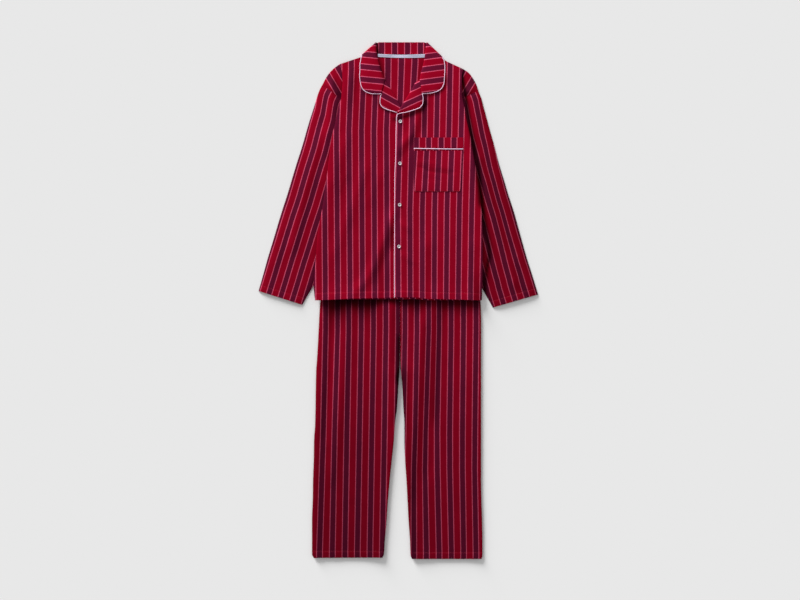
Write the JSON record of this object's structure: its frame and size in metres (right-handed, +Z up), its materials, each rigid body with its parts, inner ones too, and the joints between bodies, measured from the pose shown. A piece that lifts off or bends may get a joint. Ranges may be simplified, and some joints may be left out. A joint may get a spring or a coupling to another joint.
{
  "type": "flat-laid pyjama set",
  "caption": "Striped flannel pyjama set laid flat: long-sleeved jacket with piped notched collar and chest pocket, over straight trousers.",
  "frame": {"origin": "middle of the set's box, on the surface that it lies on", "axes": "+Z up from the surface; +Y from the trouser hems to the collar; +X to the wearer's left, which is the right as seen from above with the collar at the top"},
  "size_m": [0.81, 1.5, 0.0117],
  "materials": {
    "flannel": "brushed flannel woven in red, plum and pale pink stripes",
    "piping": "smooth white cotton piping with a cool tint",
    "tape": "pale blue woven tape, bare",
    "button": "grey-white pearl"
  },
  "bodies": {
    "root": {"jacket_back": "flannel", "front_left": "flannel", "front_right": "flannel", "sleeve_left": "flannel", "sleeve_right": "flannel", "collar": "flannel", "collar_stand": "flannel", "lapel_left": "flannel", "lapel_right": "flannel", "pocket": "flannel", "pocket_band": "flannel", "leg_front_left": "flannel", "leg_front_right": "flannel", "leg_back_left": "flannel", "leg_back_right": "flannel", "waistband": "flannel", "collar_piping": "piping", "front_piping_left": "piping", "lapel_piping_right": "piping", "pocket_piping": "piping", "neck_tape": "tape", "button_1": "button", "button_2": "button", "button_3": "button", "button_4": "button"}
  },
  "joints": []
}
